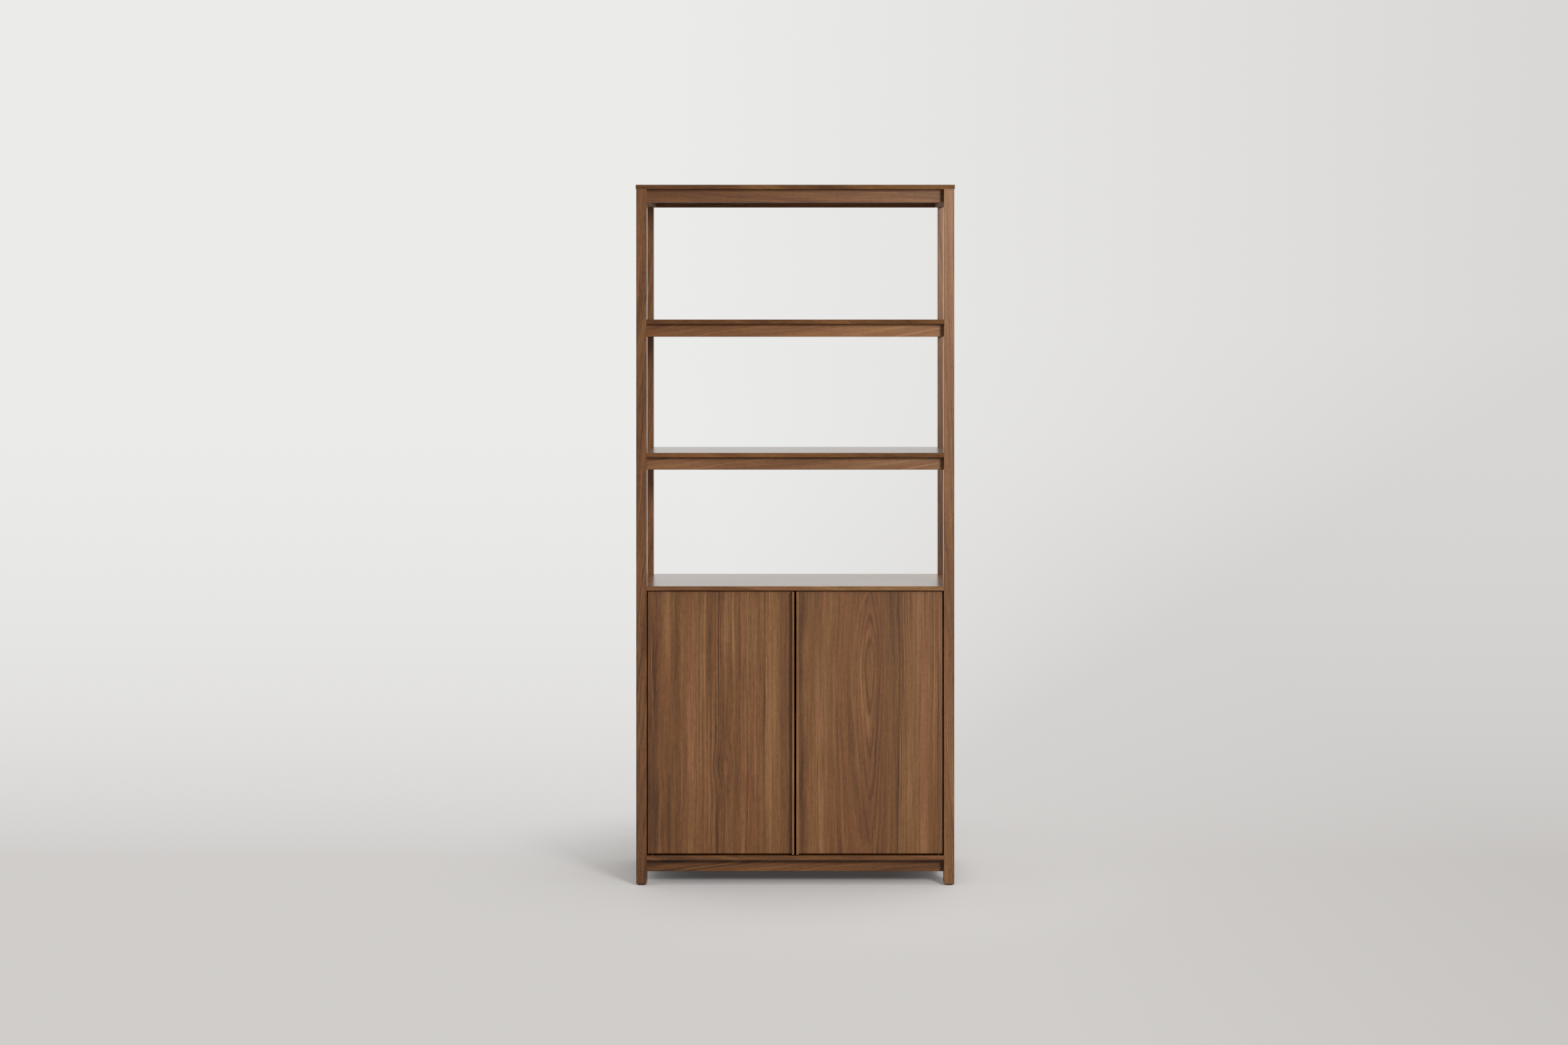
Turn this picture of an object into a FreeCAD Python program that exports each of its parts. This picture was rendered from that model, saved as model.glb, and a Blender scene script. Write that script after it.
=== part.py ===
# Tall walnut bookcase: three open bays over a base cabinet with two inset doors.
# Millimetres. X runs to the right, Y to the back and Z up. The origin is on the floor,
# under the middle of the whole object. Each piece goes to its own STEP file.
import FreeCAD, Part
import os

# Case
case_width = 911.0            # over the outer faces of the posts
case_depth = 381.0            # over the front and back faces of the posts
case_height = 2007.0          # floor to the top of the top panel
cabinet_top_height = 857.0    # floor to the top of the cabinet
bays = 3                      # open bays above the cabinet
top_bay_extra = 4.0           # top bay higher than the others
cabinet_floor_height = 85.0   # floor to the upper face of the cabinet floor
panel_thickness = 12.5        # top panel, shelves, cabinet top and cabinet floor
top_overhang = 1.5            # top panel past the posts, all round
panel_arris = 0.8             # eased edge of a panel

# Posts
post_width = 30.0
post_depth = 45.0
post_arris = 1.0              # eased long edge of a post
foot_chamfer = 3.0

# Pads under the posts
pad_inset = 6.0               # edge of a pad from the faces of its post
pad_thickness = 2.5
pad_bevel = 0.6

# Rails and their tenons
rail_height = 37.0
rail_thickness = 20.0         # front and rear rails, flush with the posts inside the case
rail_arris = 1.0
side_rail_thickness = 25.0
side_rail_setback = 15.0      # outer face of a side rail, from the outer face of the posts
tenon_thickness = 8.0
tenon_length = 20.0           # front and rear rails, into the width of the posts
side_tenon_length = 25.0      # side rails, into the depth of the posts
tenon_shoulder = 5.0          # above the upper tenon and below the lower one
tenon_spacing = 1.0           # between the two tenons that meet in one post
mortise_relief = 1.0          # spare depth behind a tenon

# Ridge on the side rails and side panels, in a stopped groove of the panel above
ridge_thickness = 8.0
ridge_height = 6.0
ridge_stop = 10.0             # end of the ridge from the post beside it

# Closing panels of the cabinet
side_panel_thickness = 19.0
back_panel_thickness = 9.0
tongue_thickness = 6.0
tongue_length = 8.0           # side and back panels, into the posts

# Inner shelf and its pins
inner_shelf_thickness = 18.0
inner_shelf_setback = 50.0    # front edge, from the front of the posts
inner_shelf_play = 1.0        # to each side panel, and to the back panel
pin_radius = 3.0
pin_depth = 9.0               # length of a pin in its hole
pin_reach = 9.0               # length of a pin under the shelf
pin_hole_depth = 10.0
pin_column_inset = 85.0       # column of holes, from the front or back of the posts
pin_pitch = 64.0
pin_rows = 3
shelf_seat_gap = 0.1          # inner shelf above the pins

# Doors and the pull strips on their meeting edges
door_thickness = 19.0
door_setback = 12.0           # door face behind the front of the posts
door_side_gap = 2.5
door_top_gap = 3.0
door_bottom_gap = 4.0
door_meeting_gap = 6.0
pull_thickness = 6.5
pull_proud = 6.0              # pull strip in front of the posts
pull_arris = 1.0

# Pivot hinges let into the top and bottom edges of the doors
hinge_inset = 12.0            # pivot from the outer edge of the door
hinge_behind_face = 7.0       # pivot behind the face of the door
leaf_length = 60.0
leaf_width = 10.0
leaf_thickness = 2.5
hinge_pin_radius = 2.5
hinge_pin_reach = 3.0         # pin past the leaf of the door
hinge_pin_clearance = 0.05
pin_bore_relief = 0.5         # wider and deeper bore in the wood around the pin
washer_play = 0.1             # above the upper washer

# Magnetic catch behind the meeting edges
catch_height = 20.0
catch_depth = 14.0
catch_flange = 3.0            # thickness of the flange under the cabinet top
catch_ear = 11.0              # flange past the housing at each end
magnet_width = 12.0
magnet_height = 7.0
magnet_length = 5.0
magnet_offset = 21.0          # middle of a magnet from the middle of the case
magnet_drop = 12.0            # middle of a magnet below the cabinet top
magnet_wall = 3.0             # housing past the magnet, sideways
strike_width = 18.0
strike_height = 13.0
strike_thickness = 1.2
catch_gap = 0.3               # strike to magnet with the door shut

# Clearances and cuts
fit = 0.05                    # around the shelf pins
overrun = 2.0                 # past a surface, for cuts
hair = 0.01                   # two places nearer than this count as one

# Planes worked out from the sizes above
half_width = case_width / 2
front_reach = max(pull_proud, top_overhang)
front_y = -(case_depth + top_overhang - front_reach) / 2
back_y = front_y + case_depth
post_top = case_height - panel_thickness
cabinet_ceiling = cabinet_top_height - panel_thickness
shelf_pitch = (case_height - cabinet_top_height - top_bay_extra) / bays
lower_shelf_height = cabinet_top_height + shelf_pitch
upper_shelf_height = lower_shelf_height + shelf_pitch
rail_setback = post_depth - rail_thickness
tenon_height = (rail_height - 2 * tenon_shoulder - tenon_spacing) / 2
rail_tops = {
    "top": post_top,
    "upper": upper_shelf_height - panel_thickness,
    "lower": lower_shelf_height - panel_thickness,
    "base": cabinet_floor_height - panel_thickness,
}
side_panel_inner = side_rail_setback + side_panel_thickness
door_outer_x = half_width - post_width - door_side_gap
door_inner_x = door_meeting_gap / 2 + pull_thickness
door_face_y = front_y + door_setback
door_back_y = door_face_y + door_thickness
door_bottom = cabinet_floor_height + door_bottom_gap
door_top = cabinet_ceiling - door_top_gap
pivot_x = door_outer_x - hinge_inset
pivot_y = door_face_y + hinge_behind_face
shelf_pin_z = (cabinet_floor_height + cabinet_ceiling) / 2
catch_front_y = door_back_y + strike_thickness + catch_gap
catch_half_width = magnet_offset + magnet_width / 2 + magnet_wall
magnet_z = cabinet_ceiling - magnet_drop

left, right = -1, 1
front, rear = -1, 1
side_names = {left: "left", right: "right"}
end_names = {front: "front", rear: "rear"}
corners = [(side, end) for side in (left, right) for end in (front, rear)]


# Shared shapes

def block(x_a, x_b, y_a, y_b, z_a, z_b):
    """Box between two values on each axis, in either order."""
    low = FreeCAD.Vector(min(x_a, x_b), min(y_a, y_b), min(z_a, z_b))
    return Part.makeBox(abs(x_b - x_a), abs(y_b - y_a), abs(z_b - z_a), low)


def from_side(side, inset):
    """X of a plane set in from the outer face of the posts on one side."""
    return side * (half_width - inset)


def from_end(end, inset):
    """Y of a plane set in from the front or the back face of the posts."""
    return front_y + inset if end == front else back_y - inset


def corner_block(side, end, x_insets, y_insets, z_range):
    """Box at one corner of the case, placed by its insets from the faces of that post."""
    x_a, x_b = [from_side(side, inset) for inset in x_insets]
    y_a, y_b = [from_end(end, inset) for inset in y_insets]
    return block(x_a, x_b, y_a, y_b, z_range[0], z_range[1])


def cylinder(radius, length, x, y, z, direction):
    return Part.makeCylinder(radius, length, FreeCAD.Vector(x, y, z), direction)


def runs_along(edge, axis):
    """True if a straight edge is parallel to one axis: 0 for X, 1 for Y, 2 for Z."""
    start, end = edge.Vertexes[0].Point, edge.Vertexes[-1].Point
    others = [abs(start[k] - end[k]) for k in range(3) if k != axis]
    return max(others) < hair and abs(start[axis] - end[axis]) > hair


def lies_at(edge, axis, value):
    """True if the whole edge lies in the plane where the axis has this value."""
    return all(abs(vertex.Point[axis] - value) < hair for vertex in edge.Vertexes)


def eased(solid, width, chosen):
    """The solid with a small flat bevel on the chosen edges."""
    return solid.makeChamfer(width, [edge for edge in solid.Edges if chosen(edge)])


def one_solid(shape):
    """The single solid of a boolean result."""
    return shape.removeSplitter().Solids[0]


# Posts, rails and panels

def end_tenon(side, end, rail_top, spare=0):
    """Upper tenon, on a front or rear rail: it enters the post from inside the opening."""
    cheek = rail_setback + (rail_thickness - tenon_thickness) / 2
    top = rail_top - tenon_shoulder
    x_insets = (post_width, post_width - tenon_length - spare)
    y_insets = (cheek, cheek + tenon_thickness)
    return corner_block(side, end, x_insets, y_insets, (top - tenon_height, top))


def side_tenon(side, end, rail_top, spare=0):
    """Lower tenon, on a side rail: it enters the post from between the two posts."""
    cheek = (side_rail_setback + post_width - tenon_thickness) / 2
    bottom = rail_top - rail_height + tenon_shoulder
    x_insets = (cheek, cheek + tenon_thickness)
    y_insets = (post_depth, post_depth - side_tenon_length - spare)
    return corner_block(side, end, x_insets, y_insets, (bottom, bottom + tenon_height))


def side_tongue(side, end):
    """Tongue of a cabinet side panel, in the groove of a post."""
    cheek = (side_rail_setback + post_width - tongue_thickness) / 2
    x_insets = (cheek, cheek + tongue_thickness)
    y_insets = (post_depth, post_depth - tongue_length)
    return corner_block(side, end, x_insets, y_insets, (cabinet_floor_height, cabinet_ceiling))


def back_tongue(side):
    """Edge of the cabinet back, in the groove of a rear post."""
    x_insets = (post_width, post_width - tongue_length)
    y_insets = (rail_setback, rail_setback + back_panel_thickness)
    return corner_block(side, rear, x_insets, y_insets, (cabinet_floor_height, cabinet_ceiling))


def post(side, end):
    """Corner post with its mortises and grooves, bevelled at the foot."""
    solid = corner_block(side, end, (0, post_width), (0, post_depth), (pad_thickness, post_top))
    solid = eased(solid, foot_chamfer, lambda edge: lies_at(edge, 2, pad_thickness))
    solid = eased(solid, post_arris, lambda edge: runs_along(edge, 2))
    cuts = [side_tongue(side, end)]
    for rail_top in rail_tops.values():
        cuts.append(end_tenon(side, end, rail_top, mortise_relief))
        cuts.append(side_tenon(side, end, rail_top, mortise_relief))
    if end == rear:
        cuts.append(back_tongue(side))
    return one_solid(solid.cut(cuts))


def foot_pad(side, end):
    """Thin pad glued under a post, set in from its faces."""
    x_insets = (pad_inset, post_width - pad_inset)
    y_insets = (pad_inset, post_depth - pad_inset)
    solid = corner_block(side, end, x_insets, y_insets, (0, pad_thickness))
    return eased(solid, pad_bevel, lambda edge: lies_at(edge, 2, 0))


def end_rail(end, rail_top):
    """Front or rear rail between two posts, with a tenon at each end."""
    y_a, y_b = from_end(end, rail_setback), from_end(end, post_depth)
    x_a, x_b = from_side(left, post_width), from_side(right, post_width)
    bottom = rail_top - rail_height
    solid = block(x_a, x_b, y_a, y_b, bottom, rail_top)
    solid = eased(solid, rail_arris, lambda edge: runs_along(edge, 0) and lies_at(edge, 2, bottom))
    tenons = [end_tenon(side, end, rail_top) for side in (left, right)]
    return one_solid(solid.fuse(tenons))


def ridge(side, thickness, seat):
    """Ridge along the middle of a side piece of this thickness, above the height seat."""
    cheek = side_rail_setback + (thickness - ridge_thickness) / 2
    x_a, x_b = from_side(side, cheek), from_side(side, cheek + ridge_thickness)
    y_a, y_b = [from_end(end, post_depth + ridge_stop) for end in (front, rear)]
    return block(x_a, x_b, y_a, y_b, seat, seat + ridge_height)


def side_rail(side, rail_top):
    """Side rail between a front and a rear post, with tenons and the ridge on top."""
    x_a, x_b = [from_side(side, inset) for inset in
                (side_rail_setback, side_rail_setback + side_rail_thickness)]
    y_a, y_b = from_end(front, post_depth), from_end(rear, post_depth)
    bottom = rail_top - rail_height
    solid = block(x_a, x_b, y_a, y_b, bottom, rail_top)
    solid = eased(solid, rail_arris, lambda edge: runs_along(edge, 1) and lies_at(edge, 2, bottom))
    added = [side_tenon(side, end, rail_top) for end in (front, rear)]
    added.append(ridge(side, side_rail_thickness, rail_top))
    return one_solid(solid.fuse(added))


def notched_panel(top, carrier_thickness):
    """Shelf as wide and deep as the case, notched round the posts and grooved below."""
    bottom = top - panel_thickness
    solid = block(-half_width, half_width, front_y, back_y, bottom, top)
    solid = eased(solid, panel_arris, lambda edge: not runs_along(edge, 2))
    notches = [corner_block(side, end, (-overrun, post_width), (-overrun, post_depth),
                            (bottom - overrun, top + overrun)) for side, end in corners]
    grooves = [ridge(side, carrier_thickness, bottom) for side in (left, right)]
    return one_solid(solid.cut(notches + grooves))


def top_panel():
    """Board that covers the post ends and stands a little past them."""
    reach = half_width + top_overhang
    solid = block(-reach, reach, front_y - top_overhang, back_y + top_overhang, post_top, case_height)
    solid = eased(solid, panel_arris, lambda edge: True)
    return one_solid(solid.cut([ridge(side, side_rail_thickness, post_top) for side in (left, right)]))


def cabinet_ceiling_panel():
    """Cabinet top, on the side panels, with mortises for the upper hinge leaves."""
    panel = notched_panel(cabinet_top_height, side_panel_thickness)
    return one_solid(panel.cut([leaf_plan(side, cabinet_ceiling, 1) for side in (left, right)]))


def cabinet_floor_panel():
    """Cabinet floor, on the base rails, with mortises for the lower hinge leaves."""
    panel = notched_panel(cabinet_floor_height, side_rail_thickness)
    return one_solid(panel.cut([leaf_plan(side, cabinet_floor_height, -1) for side in (left, right)]))


def pin_place(side, end):
    return from_side(side, side_panel_inner), from_end(end, pin_column_inset)


def side_panel(side):
    """Cabinet side with its tongues, two columns of pin holes and the ridge on top."""
    x_insets = (side_rail_setback, side_panel_inner)
    x_a, x_b = [from_side(side, inset) for inset in x_insets]
    y_a, y_b = from_end(front, post_depth), from_end(rear, post_depth)
    solid = block(x_a, x_b, y_a, y_b, cabinet_floor_height, cabinet_ceiling)
    added = [side_tongue(side, end) for end in (front, rear)]
    added.append(ridge(side, side_panel_thickness, cabinet_ceiling))
    solid = solid.fuse(added)
    cuts = []
    for end in (front, rear):
        x, y = pin_place(side, end)
        for row in range(pin_rows):
            z = shelf_pin_z + (row - pin_rows // 2) * pin_pitch
            cuts.append(cylinder(pin_radius + fit, pin_hole_depth, x, y, z, FreeCAD.Vector(side, 0, 0)))
    return one_solid(solid.cut(cuts))


def back_panel():
    """Cabinet back, between the rear posts and in their grooves."""
    x_a, x_b = from_side(left, post_width), from_side(right, post_width)
    y_a, y_b = from_end(rear, rail_setback), from_end(rear, rail_setback + back_panel_thickness)
    solid = block(x_a, x_b, y_a, y_b, cabinet_floor_height, cabinet_ceiling)
    return one_solid(solid.fuse([back_tongue(side) for side in (left, right)]))


def shelf_pin(side, end):
    """Plain pin, half in its hole and half under the inner shelf."""
    x, y = pin_place(side, end)
    length = pin_depth + pin_reach
    return cylinder(pin_radius, length, x - side * pin_reach, y, shelf_pin_z, FreeCAD.Vector(side, 0, 0))


def inner_shelf():
    """Loose shelf of the cabinet, on its four pins."""
    inset = side_panel_inner + inner_shelf_play
    x_a, x_b = from_side(left, inset), from_side(right, inset)
    y_a = from_end(front, inner_shelf_setback)
    y_b = from_end(rear, rail_setback + back_panel_thickness + inner_shelf_play)
    bottom = shelf_pin_z + pin_radius + shelf_seat_gap
    solid = block(x_a, x_b, y_a, y_b, bottom, bottom + inner_shelf_thickness)
    return eased(solid, panel_arris, lambda edge: runs_along(edge, 0) and lies_at(edge, 1, y_a))


# Doors

def door_panel(side):
    """Door board with a mortise and a pin bore for each of its hinge leaves."""
    x_a, x_b = side * door_inner_x, side * door_outer_x
    solid = block(x_a, x_b, door_face_y, door_back_y, door_bottom, door_top)
    solid = eased(solid, panel_arris, lambda edge: lies_at(edge, 1, door_face_y)
                  and not lies_at(edge, 0, x_a))
    cuts = []
    for edge_z, into in ((door_top, -1), (door_bottom, 1)):
        cuts.append(leaf_plan(side, edge_z, into))
        bore_depth = leaf_thickness + hinge_pin_reach + pin_bore_relief
        cuts.append(cylinder(hinge_pin_radius + pin_bore_relief, bore_depth,
                             side * pivot_x, pivot_y, edge_z, FreeCAD.Vector(0, 0, into)))
    return one_solid(solid.cut(cuts))


def door_pull(side):
    """Strip glued to the meeting edge, as high as the door and standing out of its face."""
    x_a, x_b = side * door_meeting_gap / 2, side * door_inner_x
    nose = front_y - pull_proud
    solid = block(x_a, x_b, nose, door_back_y, door_bottom, door_top)
    return eased(solid, pull_arris, lambda edge: lies_at(edge, 1, nose))


# Pivot hinges

def leaf_plan(side, face_z, into):
    """Plate of a hinge leaf, round about the pivot, flush at face_z and let in up or down."""
    radius = leaf_width / 2
    near = side * pivot_x
    far = side * (pivot_x - leaf_length + radius)
    base = face_z if into > 0 else face_z - leaf_thickness

    def at(x, y):
        return FreeCAD.Vector(x, y, base)

    low, high = pivot_y - radius, pivot_y + radius
    curves = [
        Part.LineSegment(at(near, low), at(far, low)),
        Part.LineSegment(at(far, low), at(far, high)),
        Part.LineSegment(at(far, high), at(near, high)),
        Part.Arc(at(near, high), at(near + side * radius, pivot_y), at(near, low)),
    ]
    outline = Part.Wire([curve.toShape() for curve in curves])
    return Part.Face(outline).extrude(FreeCAD.Vector(0, 0, leaf_thickness))


def case_leaf(side, face_z, into):
    """Leaf in the case, in one piece with its pin, which points at the door."""
    gap = door_top_gap if into > 0 else door_bottom_gap
    length = gap + leaf_thickness + hinge_pin_reach
    pin = cylinder(hinge_pin_radius, length, side * pivot_x, pivot_y, face_z, FreeCAD.Vector(0, 0, -into))
    return one_solid(leaf_plan(side, face_z, into).fuse(pin))


def door_leaf(side, face_z, into):
    """Leaf in the edge of the door, with the bore that turns on the pin."""
    bore = cylinder(hinge_pin_radius + hinge_pin_clearance, leaf_thickness,
                    side * pivot_x, pivot_y, face_z, FreeCAD.Vector(0, 0, into))
    return one_solid(leaf_plan(side, face_z, into).cut(bore))


def washer(side, bottom, thickness):
    up = FreeCAD.Vector(0, 0, 1)
    ring = cylinder(leaf_width / 2, thickness, side * pivot_x, pivot_y, bottom, up)
    hole = cylinder(hinge_pin_radius + hinge_pin_clearance, thickness, side * pivot_x, pivot_y, bottom, up)
    return ring.cut(hole)


def hinge_washers():
    """Spacers on the pins: the lower ones carry the doors, the upper ones lie on them."""
    rings = []
    for side in (left, right):
        rings.append(washer(side, cabinet_floor_height, door_bottom_gap))
        rings.append(washer(side, door_top, door_top_gap - washer_play))
    return Part.makeCompound(rings)


# Magnetic catch

def magnet(side):
    x_a, x_b = [side * (magnet_offset + k * magnet_width / 2) for k in (-1, 1)]
    return block(x_a, x_b, catch_front_y, catch_front_y + magnet_length,
                 magnet_z - magnet_height / 2, magnet_z + magnet_height / 2)


def catch_housing():
    """Moulded housing with a pocket for each magnet, under the flange that holds it up."""
    catch_back_y = catch_front_y + catch_depth
    box = block(-catch_half_width, catch_half_width, catch_front_y, catch_back_y,
                cabinet_ceiling - catch_height, cabinet_ceiling)
    reach = catch_half_width + catch_ear
    flange = block(-reach, reach, catch_front_y, catch_back_y,
                   cabinet_ceiling - catch_flange, cabinet_ceiling)
    return one_solid(box.fuse(flange).cut([magnet(side) for side in (left, right)]))


def strike_plate(side):
    """Steel plate on the back of a door, opposite its magnet."""
    x_a, x_b = [side * (magnet_offset + k * strike_width / 2) for k in (-1, 1)]
    return block(x_a, x_b, door_back_y, door_back_y + strike_thickness,
                 magnet_z - strike_height / 2, magnet_z + strike_height / 2)


# All pieces by name

def build():
    pieces = {}
    for side, end in corners:
        place = end_names[end] + "_" + side_names[side]
        pieces["post_" + place] = post(side, end)
        pieces["foot_pad_" + place] = foot_pad(side, end)
    for level, rail_top in rail_tops.items():
        for end in (front, rear):
            pieces[end_names[end] + "_rail_" + level] = end_rail(end, rail_top)
        for side in (left, right):
            pieces[side_names[side] + "_side_rail_" + level] = side_rail(side, rail_top)
    pieces["top_panel"] = top_panel()
    pieces["upper_shelf"] = notched_panel(upper_shelf_height, side_rail_thickness)
    pieces["lower_shelf"] = notched_panel(lower_shelf_height, side_rail_thickness)
    pieces["cabinet_top"] = cabinet_ceiling_panel()
    pieces["cabinet_floor"] = cabinet_floor_panel()
    pieces["cabinet_back"] = back_panel()
    pieces["inner_shelf"] = inner_shelf()
    pieces["shelf_pins"] = Part.makeCompound([shelf_pin(side, end) for side, end in corners])
    for side, name in side_names.items():
        pieces["cabinet_side_" + name] = side_panel(side)
        pieces[name + "_door"] = door_panel(side)
        pieces[name + "_door_pull"] = door_pull(side)
        pieces[name + "_strike_plate"] = strike_plate(side)
        pieces[name + "_upper_case_leaf"] = case_leaf(side, cabinet_ceiling, 1)
        pieces[name + "_lower_case_leaf"] = case_leaf(side, cabinet_floor_height, -1)
        pieces[name + "_upper_door_leaf"] = door_leaf(side, door_top, -1)
        pieces[name + "_lower_door_leaf"] = door_leaf(side, door_bottom, 1)
    pieces["hinge_washers"] = hinge_washers()
    pieces["catch_housing"] = catch_housing()
    pieces["catch_magnets"] = Part.makeCompound([magnet(side) for side in (left, right)])
    return pieces


os.makedirs("parts", exist_ok=True)
for name, shape in build().items():
    shape.exportStep(os.path.join("parts", name + ".step"))
    print("%-28s %2d solid(s) %12.1f mm3 valid %s" % (name, len(shape.Solids), shape.Volume, shape.isValid()))
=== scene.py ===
import math
import random

import bpy
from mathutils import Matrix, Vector


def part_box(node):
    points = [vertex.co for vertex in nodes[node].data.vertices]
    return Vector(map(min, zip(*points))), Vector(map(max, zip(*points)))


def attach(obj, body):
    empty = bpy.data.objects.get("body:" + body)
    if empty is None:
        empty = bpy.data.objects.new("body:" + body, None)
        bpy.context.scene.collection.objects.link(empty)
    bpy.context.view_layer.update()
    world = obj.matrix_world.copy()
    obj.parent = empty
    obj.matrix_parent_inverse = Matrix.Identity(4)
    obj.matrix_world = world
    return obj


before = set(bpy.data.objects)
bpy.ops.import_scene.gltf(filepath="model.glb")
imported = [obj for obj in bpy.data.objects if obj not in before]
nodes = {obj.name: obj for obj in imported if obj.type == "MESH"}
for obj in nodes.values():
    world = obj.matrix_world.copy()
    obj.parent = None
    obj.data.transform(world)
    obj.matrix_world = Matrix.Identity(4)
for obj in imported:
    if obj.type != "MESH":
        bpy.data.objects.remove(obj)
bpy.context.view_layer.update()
MM = 0.001


# Nodes and colours

def socket(sockets, key):
    """A usable socket of a node, by its name or its number."""
    usable = [each for each in sockets if each.enabled]
    return usable[key] if isinstance(key, int) else next(each for each in usable if each.name == key)


def add(tree, kind, inputs=None, stops=(), **settings):
    """One node with its settings; each input takes a value, a socket or another node's first output.

    The stops are those of a colour ramp: pairs of place and linear colour."""
    node = tree.nodes.new(kind)
    for name, value in settings.items():
        setattr(node, name, value)
    for key, value in (inputs or {}).items():
        if isinstance(value, bpy.types.Node):
            value = socket(value.outputs, 0)
        if isinstance(value, bpy.types.NodeSocket):
            tree.links.new(value, socket(node.inputs, key))
        else:
            socket(node.inputs, key).default_value = value
    if stops:
        elements = node.color_ramp.elements
        while len(elements) < len(stops):
            elements.new(0.5)
        for element, (place, colour) in zip(elements, stops):
            element.position = place
            element.color = colour
    return node


def linear(code):
    """Linear colour of an sRGB hex value such as 7a5638."""
    parts = [int(code[k:k + 2], 16) / 255 for k in (0, 2, 4)]
    return tuple(v / 12.92 if v <= 0.04045 else ((v + 0.055) / 1.055) ** 2.4 for v in parts) + (1.0,)


# Black walnut: the figure of a board, cut from a log at any place. Places in a board are in mm: x across
# its face, y into it and z along its grain. A pair of sizes is across and along the grain.

RING = 7.8                 # mean width of a growth ring
RING_START = 0.1           # share of a ring at the middle of the face
RINGS_SHOW = 24.0          # distance from the pith over which the rings are plain
EYE_ROUND = 30.0           # how blunt the end of a ring is where the pith turns back
WANDER = (170.0, 520.0)    # slow bends of the grain
RIPPLE = (24.0, 130.0)     # small waves of the rings
RIPPLE_SWING = 4.0         # how far those waves move a ring
KNOT_REACH = (26.0, 50.0)  # distance from a knot at which its push has fallen to about a third
KNOT_PUSH = -0.85          # share of the distance from a knot by which the grain is read nearer to it
NO_KNOT = (5000.0, 0.0, 0.0)   # so far off that it pushes nothing
NO_SPREAD = 10000.0        # the rings' tips don't close within the board
CALM = (70.0, 600.0)       # zones in which stripes and lines are weak or strong
CALM_NOISE = (0.35, 0.65)  # levels between the weakest and the strongest zones
CALM_STRENGTH = (0.45, 1.45)
QUIET_PITH = -0.75         # change of the stripes' strength right at the pith
MOTTLE = (10.0, 18.0)      # faint patches
FIBRE = (3.2, 110.0)       # fibre streaks; real ones are a fifth as wide, too fine to show
PORE = (1.7, 14.0)         # open pores; real ones are a fifth as wide, too fine to show
PORE_NOISE = (0.55, 0.72)  # levels at which a pore begins and is full
PALE_NOISE = (0.6, 0.67)   # levels of the thin lines at which the palest ones stand out
HUE_NOISE = (0.36, 0.66)   # levels between the greener and the redder brown
STREAK_SPAN = 480.0        # width that a list of streaks can cover
# The lists along a board hold the wood's own patches together with painted light, lighter where the key
# light falls
PATCH_SPAN = 2100.0        # length that a list of patches can cover

# Colour stripes that follow the growth: width, length, seed, detail of the noise, and strength
BANDS = (52.0, 900.0, 3.7, 1.0, 0.35)
STRIPES = (17.0, 700.0, 9.1, 4.0, 1.0)
LINES = (4.4, 900.0, 14.2, 2.0, 0.4)
HUE_DRIFT = (16.0, 900.0, 21.3, 3.0)   # the same but for the strength

# Tone of a place without any pattern, and what each pattern adds to it: 0 is the darkest brown
# and 1 the palest
MIDDLE_TONE = 0.5
PALE_TONE = 0.15
STREAK_TONE = 0.2
MOTTLE_TONE = 0.22
FIBRE_TONE = 0.5
PORE_TONE = -0.15

BROWNS = ((0.0, "3c2412"), (0.25, "643f22"), (0.5, "80552f"), (0.75, "996c46"), (1.0, "b0835e"))
LATE_WOOD = ((0.0, "404040"), (0.12, "000000"), (0.5, "000000"), (0.9, "ffffff"), (1.0, "a0a0a0"))
GREENER = "f8fbea"
REDDER = "fff2ef"
NO_CAST = "ffffff"

# Streaks of a leaf of veneer: place across it, and lightness from -1 to 1
LEFT_DOOR_STREAKS = ((-220, -0.35), (-174, 0.2), (-140, -0.2), (-105, 0.3), (-71, -0.15), (-44, 0.0),
                     (-32, -0.7), (-24, -1.0), (-16, -0.6), (-2, 0.1), (18, -0.15), (30, 0.1), (36, 0.7),
                     (46, 0.3), (67, 0.1), (86, 0.0), (120, 0.5), (143, 0.2), (162, -0.3))
RIGHT_DOOR_STREAKS = ((-189, -0.15), (-159, 0.4), (-128, 0.35), (-101, -0.2), (-59, 0.3), (-13, 0.0),
                      (12, 0.0), (36, -0.45), (94, -0.4), (114, 0.2), (136, 0.6), (178, -0.1))


def grain_noise(tree, board, size, detail, roughness):
    """Noise from 0 to 1 at a place in a board, in patches of a size across and along the grain."""
    across, along = size
    scaled = add(tree, "ShaderNodeVectorMath", {0: board, 1: (1 / across, 1 / across, 1 / along)},
                 operation="MULTIPLY")
    return add(tree, "ShaderNodeTexNoise", {"Vector": scaled, "Scale": 1.0, "Detail": detail,
                                            "Roughness": roughness})


def growth_noise(tree, growth, along, width, length, seed, detail):
    """Noise from 0 to 1 in stripes of a width across the growth and a length along the board."""
    across = add(tree, "ShaderNodeMath", {0: growth, 1: 1 / width}, operation="MULTIPLY")
    along = add(tree, "ShaderNodeMath", {0: along, 1: 1 / length}, operation="MULTIPLY")
    striped = add(tree, "ShaderNodeCombineXYZ", {0: across, 1: along, 2: seed})
    return add(tree, "ShaderNodeTexNoise", {"Vector": striped, "Scale": 1.0, "Detail": detail,
                                            "Roughness": 0.6})


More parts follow.
